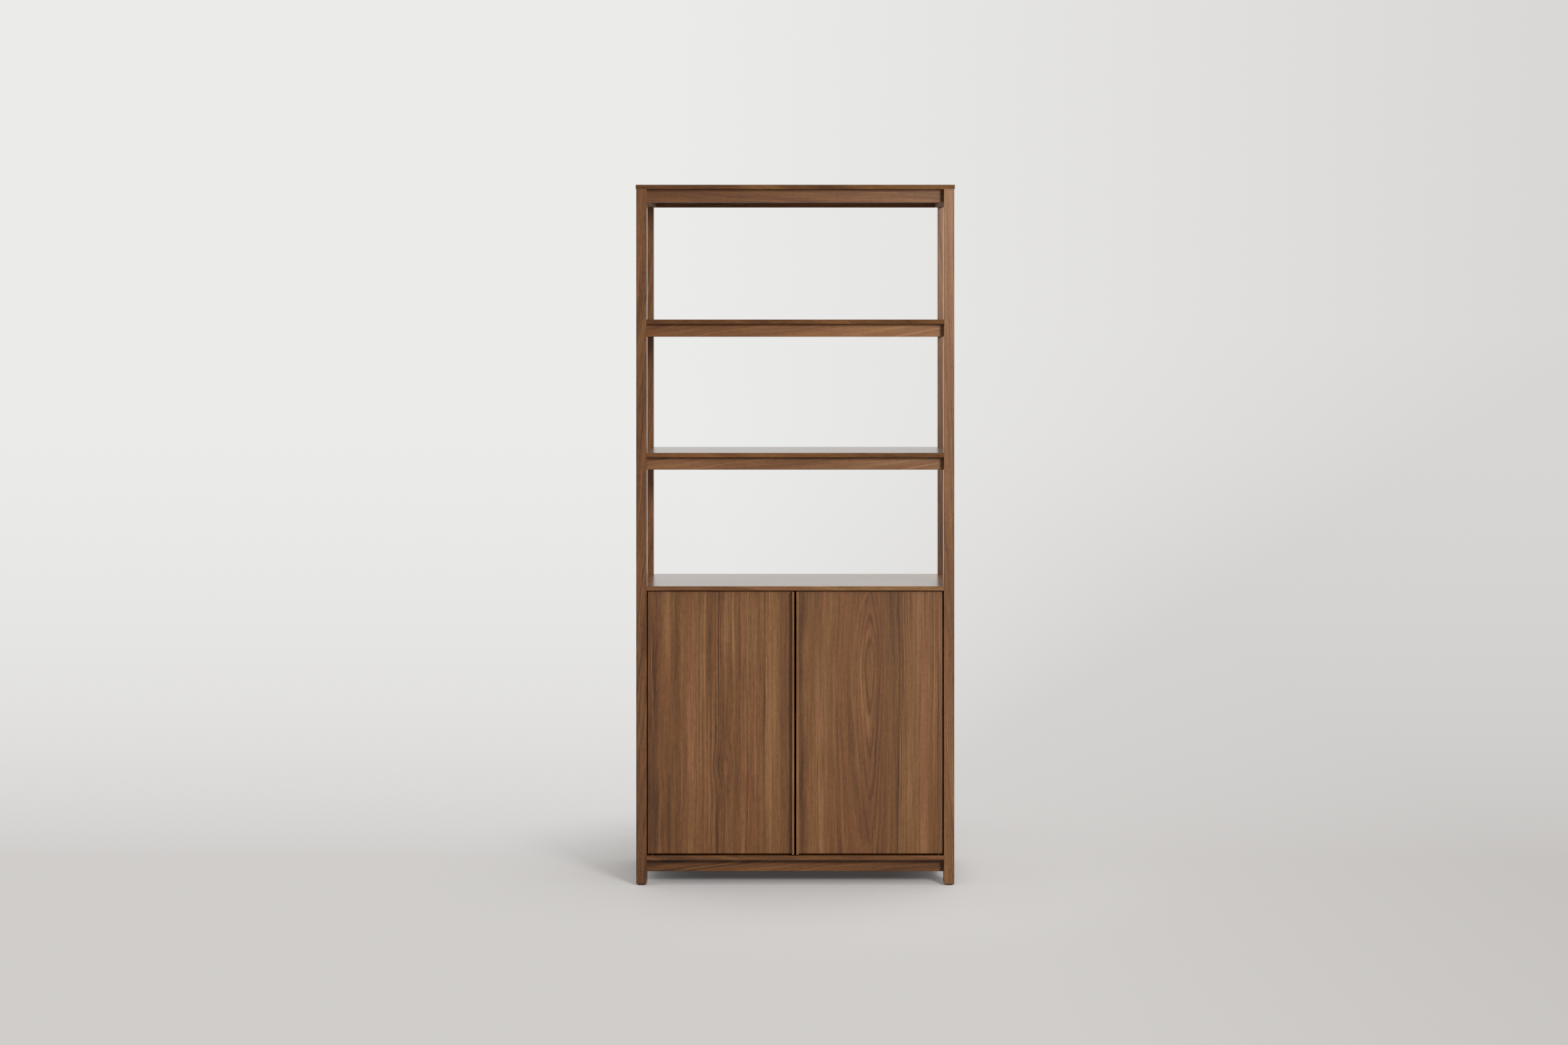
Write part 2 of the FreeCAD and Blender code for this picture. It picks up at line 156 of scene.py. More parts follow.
def walnut_warp():
    """Node group: moves a place in a board sideways, as the log wanders and a knot pushes the grain."""
    tree = bpy.data.node_groups.new("walnut_warp", "ShaderNodeTree")
    face = tree.interface
    for name in ("Board", "Knot"):
        face.new_socket(name, in_out="INPUT", socket_type="NodeSocketVector")
    face.new_socket("Wander", in_out="INPUT", socket_type="NodeSocketFloat")
    face.new_socket("Board", in_out="OUTPUT", socket_type="NodeSocketVector")
    given = add(tree, "NodeGroupInput")
    board = given.outputs["Board"]
    wander = grain_noise(tree, board, WANDER, 2.0, 0.5)
    wander = add(tree, "ShaderNodeMath", {0: wander, 1: 0.5}, operation="SUBTRACT")
    wander = add(tree, "ShaderNodeMath", {0: wander, 1: given.outputs["Wander"]}, operation="MULTIPLY")

    # A knot's push fades over its length and changes side across it
    from_knot = add(tree, "ShaderNodeVectorMath", {0: board, 1: given.outputs["Knot"]},
                    operation="SUBTRACT")
    across, along = KNOT_REACH
    spread = add(tree, "ShaderNodeVectorMath", {0: from_knot, 1: (1 / across, 0, 1 / along)},
                 operation="MULTIPLY")
    reach = add(tree, "ShaderNodeVectorMath", {0: spread, 1: spread}, operation="DOT_PRODUCT")
    fall = add(tree, "ShaderNodeMath", {0: reach.outputs["Value"], 1: -1.0}, operation="MULTIPLY")
    fall = add(tree, "ShaderNodeMath", {0: fall}, operation="EXPONENT")
    side = add(tree, "ShaderNodeSeparateXYZ", {0: from_knot}).outputs["X"]
    push = add(tree, "ShaderNodeMath", {0: fall, 1: side}, operation="MULTIPLY")
    push = add(tree, "ShaderNodeMath", {0: push, 1: KNOT_PUSH, 2: wander}, operation="MULTIPLY_ADD")
    push = add(tree, "ShaderNodeCombineXYZ", {0: push})
    moved = add(tree, "ShaderNodeVectorMath", {0: board, 1: push}, operation="ADD")
    add(tree, "NodeGroupOutput", {"Board": moved})
    return tree


def walnut_figure():
    """Node group: growth rings, stripes, fibres and pores of walnut at a place in a board."""
    tree = bpy.data.node_groups.new("walnut_figure", "ShaderNodeTree")
    face = tree.interface
    face.new_socket("Board", in_out="INPUT", socket_type="NodeSocketVector")
    for name in ("Pith depth", "Rise", "Eye", "Spread", "Lean", "Fineness", "Rings", "Streak", "Tone"):
        face.new_socket(name, in_out="INPUT", socket_type="NodeSocketFloat")
    face.new_socket("Colour", in_out="OUTPUT", socket_type="NodeSocketColor")
    face.new_socket("Height", in_out="OUTPUT", socket_type="NodeSocketFloat")
    given = add(tree, "NodeGroupInput").outputs
    board = given["Board"]
    place = add(tree, "ShaderNodeSeparateXYZ", {0: board}).outputs

    # Distance from the pith, which rises along the board and can turn back to form an eye
    ripple = grain_noise(tree, board, RIPPLE, 2.0, 0.5)
    ripple = add(tree, "ShaderNodeMath", {0: ripple, 1: 0.5}, operation="SUBTRACT")
    depth = add(tree, "ShaderNodeMath", {0: place["Y"], 1: given["Pith depth"]}, operation="ADD")
    flat = add(tree, "ShaderNodeCombineXYZ", {0: place["X"], 1: depth})
    radius = add(tree, "ShaderNodeVectorMath", {0: flat}, operation="LENGTH").outputs["Value"]
    grown = add(tree, "ShaderNodeMath", {0: radius, 1: given["Pith depth"]}, operation="SUBTRACT")
    squared = add(tree, "ShaderNodeMath", {0: place["Z"], 1: place["Z"], 2: EYE_ROUND ** 2},
                  operation="MULTIPLY_ADD")
    turned = add(tree, "ShaderNodeMath", {0: squared}, operation="SQRT")
    turned = add(tree, "ShaderNodeMath", {0: turned, 1: EYE_ROUND}, operation="SUBTRACT")
    risen = add(tree, "ShaderNodeMath", {0: place["Z"], 1: given["Rise"]}, operation="MULTIPLY")
    risen = add(tree, "ShaderNodeMath", {0: turned, 1: given["Eye"], 2: risen}, operation="MULTIPLY_ADD")
    beside = add(tree, "ShaderNodeMath", {0: place["X"], 1: given["Spread"]}, operation="DIVIDE")
    beside = add(tree, "ShaderNodeMath", {0: beside, 1: beside, 2: 1.0}, operation="MULTIPLY_ADD")
    risen = add(tree, "ShaderNodeMath", {0: risen, 1: beside}, operation="DIVIDE")
    grown = add(tree, "ShaderNodeMath", {0: grown, 1: risen}, operation="ADD")
    grown = add(tree, "ShaderNodeMath", {0: ripple, 1: RIPPLE_SWING, 2: grown}, operation="MULTIPLY_ADD")

    # Nearness to the pith, from 1 down to 0
    near = add(tree, "ShaderNodeCombineXYZ", {0: radius, 1: grown})
    near = add(tree, "ShaderNodeVectorMath", {0: near, 1: near}, operation="DOT_PRODUCT").outputs["Value"]
    near = add(tree, "ShaderNodeMath", {0: near, 1: 1 / RINGS_SHOW ** 2, 2: 1.0}, operation="MULTIPLY_ADD")
    near = add(tree, "ShaderNodeMath", {0: 1.0, 1: near}, operation="DIVIDE")

    # Stripes follow the growth, lean across the board, and are livelier in some zones than in others
    growth = add(tree, "ShaderNodeMath", {0: place["X"], 1: given["Lean"], 2: grown},
                 operation="MULTIPLY_ADD")
    growth = add(tree, "ShaderNodeMath", {0: growth, 1: given["Fineness"]}, operation="MULTIPLY")
    zone = add(tree, "ShaderNodeCombineXYZ", {0: growth, 2: place["Z"]})
    lively = add(tree, "ShaderNodeMapRange", {"Value": grain_noise(tree, zone, CALM, 1.0, 0.5),
                                              "From Min": CALM_NOISE[0], "From Max": CALM_NOISE[1],
                                              "To Min": CALM_STRENGTH[0], "To Max": CALM_STRENGTH[1]})
    quiet = add(tree, "ShaderNodeMath", {0: near, 1: QUIET_PITH, 2: 1.0}, operation="MULTIPLY_ADD")
    lively = add(tree, "ShaderNodeMath", {0: lively, 1: quiet}, operation="MULTIPLY")
    tone = add(tree, "ShaderNodeMath", {0: given["Tone"], 1: MIDDLE_TONE}, operation="ADD")
    for *stripe, strength in (BANDS, STRIPES, LINES):
        layer = growth_noise(tree, growth, place["Z"], *stripe)
        level = add(tree, "ShaderNodeMath", {0: layer, 1: 0.5}, operation="SUBTRACT")
        level = add(tree, "ShaderNodeMath", {0: level, 1: lively}, operation="MULTIPLY")
        tone = add(tree, "ShaderNodeMath", {0: level, 1: strength, 2: tone}, operation="MULTIPLY_ADD")

    # The palest of the thin lines, which are the last layer, stand out
    pale = add(tree, "ShaderNodeMapRange", {"Value": layer, "From Min": PALE_NOISE[0],
                                            "From Max": PALE_NOISE[1], "To Max": PALE_TONE})
    tone = add(tree, "ShaderNodeMath", {0: pale, 1: lively, 2: tone}, operation="MULTIPLY_ADD")

    # Each ring darkens towards its late wood and ends in a line, which is plain only near the pith
    ring = add(tree, "ShaderNodeMath", {0: grown, 1: given["Fineness"]}, operation="MULTIPLY")
    ring = add(tree, "ShaderNodeMath", {0: ring, 1: 1 / RING, 2: RING_START}, operation="MULTIPLY_ADD")
    late = add(tree, "ShaderNodeMath", {0: ring}, operation="FRACT")
    late = add(tree, "ShaderNodeValToRGB", {0: late}, [(at, linear(code)) for at, code in LATE_WOOD])
    late = add(tree, "ShaderNodeMath", {0: late, 1: given["Rings"]}, operation="MULTIPLY")
    late = add(tree, "ShaderNodeMath", {0: late, 1: near}, operation="MULTIPLY")
    tone = add(tree, "ShaderNodeMath", {0: tone, 1: late}, operation="SUBTRACT")
    # The streak input carries the veneer's streaks and also the painted light along boards
    tone = add(tree, "ShaderNodeMath", {0: given["Streak"], 1: STREAK_TONE, 2: tone},
               operation="MULTIPLY_ADD")

    # Mottle, fibres and pores
    mottle = grain_noise(tree, board, MOTTLE, 3.0, 0.7)
    mottle = add(tree, "ShaderNodeMath", {0: mottle, 1: 0.5}, operation="SUBTRACT")
    tone = add(tree, "ShaderNodeMath", {0: mottle, 1: MOTTLE_TONE, 2: tone}, operation="MULTIPLY_ADD")
    fibre = grain_noise(tree, board, FIBRE, 2.0, 0.6)
    fibre = add(tree, "ShaderNodeMath", {0: fibre, 1: 0.5}, operation="SUBTRACT")
    pore = add(tree, "ShaderNodeMapRange", {"Value": grain_noise(tree, board, PORE, 1.0, 0.5),
                                            "From Min": PORE_NOISE[0], "From Max": PORE_NOISE[1]})
    tone = add(tree, "ShaderNodeMath", {0: fibre, 1: FIBRE_TONE, 2: tone}, operation="MULTIPLY_ADD")
    tone = add(tree, "ShaderNodeMath", {0: pore, 1: PORE_TONE, 2: tone}, operation="MULTIPLY_ADD")

    # Dark brown to tan, with a slight drift between a redder and a greener brown
    brown = add(tree, "ShaderNodeValToRGB", {0: tone}, [(at, linear(code)) for at, code in BROWNS])
    hue = add(tree, "ShaderNodeMapRange", {"Value": growth_noise(tree, growth, place["Z"], *HUE_DRIFT),
                                           "From Min": HUE_NOISE[0], "From Max": HUE_NOISE[1]})
    hue = add(tree, "ShaderNodeMix", {"Factor": hue, "A": linear(GREENER), "B": linear(REDDER)},
              data_type="RGBA")
    colour = add(tree, "ShaderNodeMix", {"Factor": 1.0, "A": brown, "B": hue}, data_type="RGBA",
                 blend_type="MULTIPLY")
    relief = add(tree, "ShaderNodeMath", {0: fibre, 1: pore}, operation="SUBTRACT")
    add(tree, "NodeGroupOutput", {"Colour": colour, "Height": relief})
    return tree


WARP = walnut_warp()
FIGURE = walnut_figure()
RELIEF = 0.1 * MM          # height of the fibres and pores under the film
RELIEF_STRENGTH = 0.25


def lacquered_walnut(name, axes, centre, pith_depth=60.0, rise=0.02, eye=0.0, spread=NO_SPREAD, lean=0.4,
                     wander=30.0, fineness=1.0, rings=0.3, tone=0.0, knot=NO_KNOT, streaks=(), light_and_patches=(),
                     roughness=0.38, film=0.3, film_roughness=0.28, cast=NO_CAST):
    """Satin-lacquered black walnut. The film is thin, so the pores show through it as fine dark dashes.

    axes names the world axes that run across the face, into the board and along its grain. The pith lies
    pith_depth under the figure's centre and rises along the grain by rise, and by eye to both sides of
    the centre. lean slants the stripes, fineness narrows rings and stripes, and cast tints the wood."""
    material = bpy.data.materials.new("satin_lacquered_walnut_" + name)
    material.use_nodes = True
    tree = material.node_tree
    tree.nodes.clear()
    place = add(tree, "ShaderNodeTexCoord").outputs["Object"]
    shift = tuple(-value / MM for value in centre)
    placed = add(tree, "ShaderNodeMapping", {"Vector": place, "Location": shift, "Scale": (1 / MM,) * 3})
    split = add(tree, "ShaderNodeSeparateXYZ", {0: placed}).outputs
    board = add(tree, "ShaderNodeCombineXYZ", {k: split[axis] for k, axis in enumerate(axes)})
    board = add(tree, "ShaderNodeGroup", {"Board": board, "Knot": knot, "Wander": wander}, node_tree=WARP)
    warped = add(tree, "ShaderNodeSeparateXYZ", {0: board}).outputs
    # Streaks across a veneer are its own figure; the list along a board is its patches together with
    # painted light and sheen
    light = 0.0
    for along, span, levels in ((warped["X"], STREAK_SPAN, streaks), (warped["Z"], PATCH_SPAN, light_and_patches)):
        if levels:
            share = add(tree, "ShaderNodeMath", {0: along, 1: 1 / span, 2: 0.5}, operation="MULTIPLY_ADD")
            greys = [(at / span + 0.5, (0.5 + level / 2,) * 3 + (1.0,)) for at, level in levels]
            grey = add(tree, "ShaderNodeValToRGB", {0: share}, greys)
            grey = add(tree, "ShaderNodeMath", {0: grey, 1: 0.5}, operation="SUBTRACT")
            light = add(tree, "ShaderNodeMath", {0: grey, 1: 2.0, 2: light}, operation="MULTIPLY_ADD")
    figure = add(tree, "ShaderNodeGroup", {"Board": board, "Pith depth": pith_depth, "Rise": rise,
                                           "Eye": eye, "Spread": spread, "Lean": lean,
                                           "Fineness": fineness, "Rings": rings, "Streak": light,
                                           "Tone": tone}, node_tree=FIGURE).outputs
    bump = add(tree, "ShaderNodeBump", {"Height": figure["Height"], "Strength": RELIEF_STRENGTH,
                                        "Distance": RELIEF})
    colour = add(tree, "ShaderNodeMix", {"Factor": 1.0, "A": figure["Colour"], "B": linear(cast)},
                 data_type="RGBA", blend_type="MULTIPLY")
    shader = add(tree, "ShaderNodeBsdfPrincipled", {"Base Color": colour, "Normal": bump,
                                                    "Roughness": roughness, "IOR": 1.5,
                                                    "Coat Weight": film, "Coat Roughness": film_roughness})
    add(tree, "ShaderNodeOutputMaterial", {"Surface": shader})
    return material


HARDWARE_MOTTLE = 900.0    # patches in a metre, each about 1.1 mm
GLOSS_SWING = 0.06         # how far the roughness of hardware varies, either way
SHADE_SWING = 0.1          # how far its lightness varies, either way


def hardware_finish(name, colour, roughness, metallic=0.0):
    """Metal or plastic of a small part, with a fine mottle in its gloss and shade."""
    material = bpy.data.materials.new(name)
    material.use_nodes = True
    tree = material.node_tree
    tree.nodes.clear()
    place = add(tree, "ShaderNodeTexCoord").outputs["Object"]
    mottle = add(tree, "ShaderNodeTexNoise", {"Vector": place, "Scale": HARDWARE_MOTTLE, "Detail": 2.0})
    gloss = add(tree, "ShaderNodeMapRange", {"Value": mottle, "To Min": roughness - GLOSS_SWING,
                                             "To Max": roughness + GLOSS_SWING})
    shade = add(tree, "ShaderNodeMapRange", {"Value": mottle, "To Min": 1.0 - SHADE_SWING,
                                             "To Max": 1.0 + SHADE_SWING})
    tint = add(tree, "ShaderNodeVectorMath", {0: linear(colour)[:3], "Scale": shade}, operation="SCALE")
    shader = add(tree, "ShaderNodeBsdfPrincipled", {"Base Color": tint, "Roughness": gloss,
                                                    "Metallic": metallic})
    add(tree, "ShaderNodeOutputMaterial", {"Surface": shader})
    return material


# Boards. Lightness of single boards, and of places along them from their middle in mm: both from -1 to 1.
# The places along them are partly the wood's own patches and partly painted light and sheen: most boards
# are painted lighter towards their right ends, and the posts towards their tops, where the key light
# falls.

POST_TONES = {"post_front_left": -0.09, "post_front_right": 0.03, "post_rear_left": -0.02,
              "post_rear_right": 0.0}
RAIL_TONES = {"front_rail_top": 0.0, "front_rail_upper": 0.06, "front_rail_lower": 0.04,
              "front_rail_base": -0.12}
PANEL_TONES = {"top_panel": -0.03, "upper_shelf": -0.15, "lower_shelf": -0.05, "cabinet_top": 0.12,
               "cabinet_floor": -0.06}
PULL_TONES = {"left_door_pull": 0.08, "right_door_pull": 0.13}
# Painted light and sheen: lighter towards the right ends and towards the posts' tops, where the key light
# falls, mixed with the wood's own patches
LIGHT_AND_PATCHES = {"top_panel": ((-400, -1.0), (0, 0.0), (400, 1.0)),
           "upper_shelf": ((-400, -0.5), (0, -0.2), (400, 0.85)),
           "cabinet_top": ((-400, 0.0), (0, 0.0), (400, 0.4)),
           "cabinet_floor": ((-400, -0.7), (400, -0.2)),
           "front_rail_top": ((-350, -0.25), (0, -0.2), (350, 0.4)),
           "front_rail_upper": ((-350, -0.65), (0, 0.4), (330, 1.0)),
           "front_rail_lower": ((-350, 0.3), (0, -0.1), (350, 0.6)),
           "front_rail_base": ((-350, -0.4), (0, 0.2), (350, 0.2)),
           "post_front_left": ((-700, -0.35), (-100, -0.05), (900, 0.1)),
           "post_front_right": ((-700, 0.2), (-100, -0.4), (400, 0.6), (900, 1.0)),
           "post_rear_right": ((0, -0.9), (400, 0.0), (800, 0.9))}

# Tints of single boards: the panels' edges are cooler than the rest, and two rails are yellower
CASTS = {"top_panel": "f2f8ff", "cabinet_top": "f6fbff", "front_rail_top": "fdf4de",
         "front_rail_upper": "fff6da"}

# Where boards are cut from their logs, in metres. Posts and rails lie to one side of the pith, so that
# the tips of the rings don't show on their faces.
BESIDE_PITH = (0.03, 0.05)
POST_ALONG = 0.5
RAIL_ALONG = 0.3
SIDE_RAIL_ALONG = 0.2
SIDE_RAIL_ASIDE = 0.03
PANEL_ALONG = 0.3
PANEL_ASIDE = 0.06
POST_PITH = (20, 40)         # depths of the pith in mm, for posts and rails
SIDE_RAIL_PITH = (30, 70)
PANEL_PITH = 40.0
POST_RISE = (0.04, 0.08)     # rises of the pith along posts and rails
LEFT_DOOR_FIGURE = (-0.19, -0.17, 0.86)    # its middle
RIGHT_DOOR_EYE = (0.214, -0.17625, 0.634)  # its middle
LEFT_DOOR_KNOT = (-12.0, 0.0, -520.0)      # from the middle of the left door's figure, in mm
chance = random.Random(7)


def dress(node, material):
    """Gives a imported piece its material."""
    data = nodes[node].data
    data.materials.clear()
    data.materials.append(material)


def middle(node):
    """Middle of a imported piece."""
    low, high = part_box(node)
    return (low + high) / 2


def either_way(most):
    """A random distance of up to a limit, either way."""
    return chance.uniform(-most, most)


def beside_pith():
    """A random distance to one side of the pith, at which a post or rail is cut."""
    return chance.choice((-1, 1)) * chance.uniform(*BESIDE_PITH)


def light_and_patches_of(node, shift):
    """Lightness along a board, the wood's own patches with painted light, for a figure whose middle is
    moved by a shift along it.
    """
    return tuple((at - shift / MM, level) for at, level in LIGHT_AND_PATCHES.get(node, ()))


def post_walnut(node):
    """Upright stock with fine straight grain and the fullest sheen of the solid pieces."""
    offset = Vector((beside_pith(), 0, either_way(POST_ALONG)))
    return lacquered_walnut(node, "XYZ", middle(node) + offset, pith_depth=chance.uniform(*POST_PITH),
                            rise=chance.uniform(*POST_RISE), wander=60.0, fineness=1.8, rings=0.15,
                            tone=POST_TONES[node], light_and_patches=light_and_patches_of(node, offset.z), film=0.45,
                            film_roughness=0.2)


def side_rail_walnut(node):
    """Dull solid walnut, mostly seen from below."""
    offset = Vector((0, either_way(SIDE_RAIL_ALONG), either_way(SIDE_RAIL_ASIDE)))
    return lacquered_walnut(node, "ZXY", middle(node) + offset, pith_depth=chance.uniform(*SIDE_RAIL_PITH),
                            rise=0.05, roughness=0.75, film=0.0)


def rail_walnut(node):
    """Front and rear rails: fine straight grain with little sheen."""
    offset = Vector((either_way(RAIL_ALONG), 0, beside_pith()))
    return lacquered_walnut(node, "ZYX", middle(node) + offset, pith_depth=chance.uniform(*POST_PITH),
                            rise=chance.uniform(*POST_RISE), wander=60.0, fineness=1.8, rings=0.12,
                            tone=RAIL_TONES.get(node, 0.0), light_and_patches=light_and_patches_of(node, offset.x),
                            roughness=0.45, film=0.0, cast=CASTS.get(node, NO_CAST))


def panel_walnut(node):
    """Shelves, top and cabinet floor: the fullest film, which shows the backdrop at a low angle."""
    offset = Vector((either_way(PANEL_ALONG), either_way(PANEL_ASIDE), 0))
    return lacquered_walnut(node, "YZX", middle(node) + offset, pith_depth=PANEL_PITH, rise=0.03,
                            tone=PANEL_TONES[node], light_and_patches=light_and_patches_of(node, offset.x), roughness=0.3,
                            film=0.65, film_roughness=0.2, cast=CASTS.get(node, NO_CAST))


for node in sorted(nodes):
    if node.startswith("post_"):
        dress(node, post_walnut(node))
    elif "side_rail" in node:
        dress(node, side_rail_walnut(node))
    elif "_rail_" in node:
        dress(node, rail_walnut(node))
    elif node in PANEL_TONES:
        dress(node, panel_walnut(node))
    elif node.startswith("cabinet_side"):
        dress(node, lacquered_walnut(node, "YXZ", middle(node), pith_depth=PANEL_PITH))
    elif node == "inner_shelf":
        dress(node, lacquered_walnut(node, "YZX", middle(node), pith_depth=PANEL_PITH, rise=0.03,
                                     roughness=0.5, film=0.0))
    elif node == "cabinet_back":
        dress(node, lacquered_walnut(node, "XYZ", middle(node), pith_depth=PANEL_PITH))
    elif node in PULL_TONES:
        dress(node, lacquered_walnut(node, "XYZ", middle(node), pith_depth=80.0, rise=0.01,
                                     tone=PULL_TONES[node]))

# The left door's veneer is nearly quartered, with long streaks, one of which bends round a small knot.
# The right door's is flat-sawn: its rings close to an eye below the middle.
dress("left_door", lacquered_walnut("left_door", "XYZ", LEFT_DOOR_FIGURE, pith_depth=400.0, rise=0.0,
                                    lean=1.0, wander=24.0, knot=LEFT_DOOR_KNOT,
                                    streaks=LEFT_DOOR_STREAKS))
dress("right_door", lacquered_walnut("right_door", "XYZ", RIGHT_DOOR_EYE, pith_depth=11.0, rise=0.0285,
                                     eye=0.0915, spread=45.0, wander=12.0, rings=0.36,
                                     streaks=RIGHT_DOOR_STREAKS))


# Hardware. Brass has a warm soft highlight, zinc plate is a cool dull grey, and a nickel-plated magnet is
# darker and sharper. The moulded plastics are dark, with a weak broad sheen.

satin_brass = hardware_finish("satin_brass", "b8914c", 0.32, 1.0)
zinc_plated_steel = hardware_finish("zinc_plated_steel", "a8aaad", 0.38, 1.0)
nickel_plated_magnet = hardware_finish("nickel_plated_magnet", "8f8f93", 0.3, 1.0)
moulded_nylon = hardware_finish("moulded_black_nylon", "1d1815", 0.5)
catch_plastic = hardware_finish("moulded_brown_plastic", "2c2019", 0.5)
for node in sorted(nodes):
    if node.endswith("_leaf") or node == "shelf_pins":
        dress(node, satin_brass)
    elif node.endswith("strike_plate"):
        dress(node, zinc_plated_steel)
    elif node.startswith("foot_pad") or node == "hinge_washers":
        dress(node, moulded_nylon)
dress("catch_magnets", nickel_plated_magnet)
dress("catch_housing", catch_plastic)


# Screws: raised countersunk heads with a cross recess, one mesh for each body

HEAD = 6.0 * MM          # across a head of size 1
HEAD_RISE = 0.45 * MM    # middle of the head above its rim
HEAD_SINK = 1.6 * MM     # height of the cone under the rim
RECESS = 0.75 * MM       # depth of the cross
CROSS_ARM_SHARE = 0.17   # half the width of the cross's arms, as a share of the head's radius
CROSS_SHARE = 0.6        # reach of the cross, as a share of that radius
CONE_SHARE = 0.5         # width of the cone's lower end, as a share of the head's
HEAD_SIDES = 32          # faces round a head
HEAD_RINGS = 6           # faces from its middle to its rim
TURN_SEED = 3            # for the angles at which the crosses stop
ALONG_LEAF = (18.0, 33.0, 48.0)   # mm from the pivot to each screw of a hinge leaf
PIVOT_INSET = 5.0        # mm, pivot from the round end of its leaf
STRIKE_SIZE = 0.75       # head of a strike plate's screw, which sits a little below the plate's face
STRIKE_DEEP = 0.25       # mm, that head's rim below the face
EAR_INSET = 5.5          # mm, screw from the end of the catch's flange


def countersunk_screws():
    """Node tree: a screw head on each point, turned to face its way and set at any angle on its axis."""
    tree = bpy.data.node_groups.new("countersunk_screws", "GeometryNodeTree")
    face = tree.interface
    face.new_socket("Geometry", in_out="OUTPUT", socket_type="NodeSocketGeometry")
    face.new_socket("Geometry", in_out="INPUT", socket_type="NodeSocketGeometry")
    for name in ("Head", "Rise", "Sink", "Recess"):
        face.new_socket(name, in_out="INPUT", socket_type="NodeSocketFloat")
    face.new_socket("Seed", in_out="INPUT", socket_type="NodeSocketInt")
    face.new_socket("Material", in_out="INPUT", socket_type="NodeSocketMaterial")
    given = add(tree, "NodeGroupInput").outputs
    radius = add(tree, "ShaderNodeMath", {0: given["Head"], 1: 0.5}, operation="MULTIPLY")
    blank = add(tree, "GeometryNodeMeshCylinder", {"Vertices": HEAD_SIDES, "Side Segments": 1,
                                                   "Fill Segments": HEAD_RINGS, "Radius": radius,
                                                   "Depth": given["Sink"]}, fill_type="TRIANGLE_FAN")

    # The top is domed and has the cross sunk in it
    place = add(tree, "ShaderNodeSeparateXYZ", {0: add(tree, "GeometryNodeInputPosition")}).outputs
    flat = add(tree, "ShaderNodeCombineXYZ", {0: place["X"], 1: place["Y"]})
    out = add(tree, "ShaderNodeVectorMath", {0: flat}, operation="LENGTH").outputs["Value"]
    out = add(tree, "ShaderNodeMath", {0: out, 1: radius}, operation="DIVIDE")
    dome = add(tree, "ShaderNodeMath", {0: out, 1: out}, operation="MULTIPLY")
    dome = add(tree, "ShaderNodeMath", {0: 1.0, 1: dome}, operation="SUBTRACT")
    dome = add(tree, "ShaderNodeMath", {0: dome, 1: given["Rise"]}, operation="MULTIPLY")
    beside_x = add(tree, "ShaderNodeMath", {0: place["X"]}, operation="ABSOLUTE")
    beside_y = add(tree, "ShaderNodeMath", {0: place["Y"]}, operation="ABSOLUTE")
    beside = add(tree, "ShaderNodeMath", {0: beside_x, 1: beside_y}, operation="MINIMUM")
    width = add(tree, "ShaderNodeMath", {0: radius, 1: CROSS_ARM_SHARE}, operation="MULTIPLY")
    arm = add(tree, "ShaderNodeMath", {0: beside, 1: width}, operation="LESS_THAN")
    inner = add(tree, "ShaderNodeMath", {0: out, 1: CROSS_SHARE}, operation="LESS_THAN")
    cross = add(tree, "ShaderNodeMath", {0: arm, 1: inner}, operation="MULTIPLY")
    cross = add(tree, "ShaderNodeMath", {0: cross, 1: given["Recess"]}, operation="MULTIPLY")
    top_z = add(tree, "ShaderNodeMath", {0: dome, 1: cross}, operation="SUBTRACT")
    top = add(tree, "ShaderNodeCombineXYZ", {0: place["X"], 1: place["Y"], 2: top_z})

    # The bottom is drawn in to make the cone
    low = add(tree, "ShaderNodeVectorMath", {0: flat, "Scale": CONE_SHARE}, operation="SCALE")
    down = add(tree, "ShaderNodeMath", {0: given["Sink"], 1: -1.0}, operation="MULTIPLY")
    down = add(tree, "ShaderNodeCombineXYZ", {2: down})
    low = add(tree, "ShaderNodeVectorMath", {0: low, 1: down}, operation="ADD")
    upper = add(tree, "ShaderNodeMath", {0: place["Z"], 1: 0.0}, operation="GREATER_THAN")
    moved = add(tree, "GeometryNodeSwitch", {"Switch": upper, "False": low, "True": top},
                input_type="VECTOR")
    head = add(tree, "GeometryNodeSetPosition", {"Geometry": blank, "Position": moved})

    facing = add(tree, "GeometryNodeInputNamedAttribute", {"Name": "facing"}, data_type="FLOAT_VECTOR")
    size = add(tree, "GeometryNodeInputNamedAttribute", {"Name": "size"}, data_type="FLOAT")
    aim = add(tree, "FunctionNodeAlignRotationToVector", {"Vector": facing}, axis="Z")
    turn = add(tree, "FunctionNodeRandomValue", {"Min": 0.0, "Max": math.tau, "Seed": given["Seed"]},
               data_type="FLOAT")
    turn = add(tree, "ShaderNodeCombineXYZ", {2: turn})
    turn = add(tree, "FunctionNodeEulerToRotation", {0: turn})
    aim = add(tree, "FunctionNodeRotateRotation", {"Rotation": aim, "Rotate By": turn},
              rotation_space="LOCAL")
    heads = add(tree, "GeometryNodeInstanceOnPoints", {"Points": given["Geometry"], "Instance": head,
                                                       "Rotation": aim, "Scale": size})
    solid = add(tree, "GeometryNodeRealizeInstances", {"Geometry": heads})
    solid = add(tree, "GeometryNodeSetMaterial", {"Geometry": solid, "Material": given["Material"]})
    add(tree, "NodeGroupOutput", {"Geometry": solid})
    return tree


